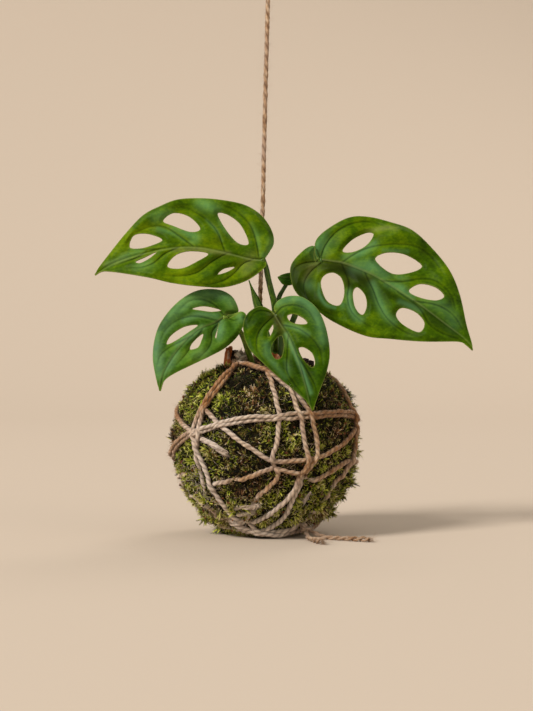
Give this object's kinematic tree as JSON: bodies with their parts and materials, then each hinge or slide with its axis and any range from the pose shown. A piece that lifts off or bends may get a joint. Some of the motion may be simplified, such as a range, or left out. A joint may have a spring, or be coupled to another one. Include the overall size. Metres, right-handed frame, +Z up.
{
  "type": "kokedama moss ball plant",
  "caption": "Moss-covered soil ball bound with jute twine, with holed leaves on slender stems and a taut string rising to a loop.",
  "frame": {"origin": "centre of the flat spot at the underside of the moss ball, which the plant rests on", "axes": "+Z up along the ball's axis, +X towards the tip of the upper right leaf as seen from the front, -Y towards the front"},
  "size_m": [0.2148, 0.1122, 0.3495],
  "materials": {
    "soil": "matte",
    "moss": "matte",
    "twine": "matte",
    "leaf": "satin",
    "young_leaf": "satin",
    "stem": "satin",
    "bark": "matte"
  },
  "bodies": {
    "root": {"soil_ball": "soil", "moss_cover": "moss", "twine_wrap": "twine", "crown_knot": "twine", "string_knot": "twine", "tie_knot": "twine", "tie_tail_long": "twine", "tie_tail_short": "twine", "hanging_string": "twine", "string_loop": "twine", "main_stem": "stem", "petiole_front": "stem", "petiole_upper_left": "stem", "petiole_upper_right": "stem", "petiole_lower_left": "stem", "young_stalk": "stem", "rolled_leaf": "young_leaf", "stem_sheath": "bark", "leaf_upper_left": "leaf", "leaf_upper_right": "leaf", "leaf_lower_left": "leaf", "leaf_front": "leaf", "young_leaf": "leaf", "dry_sheath": "bark", "bark_chip": "bark"}
  },
  "joints": []
}
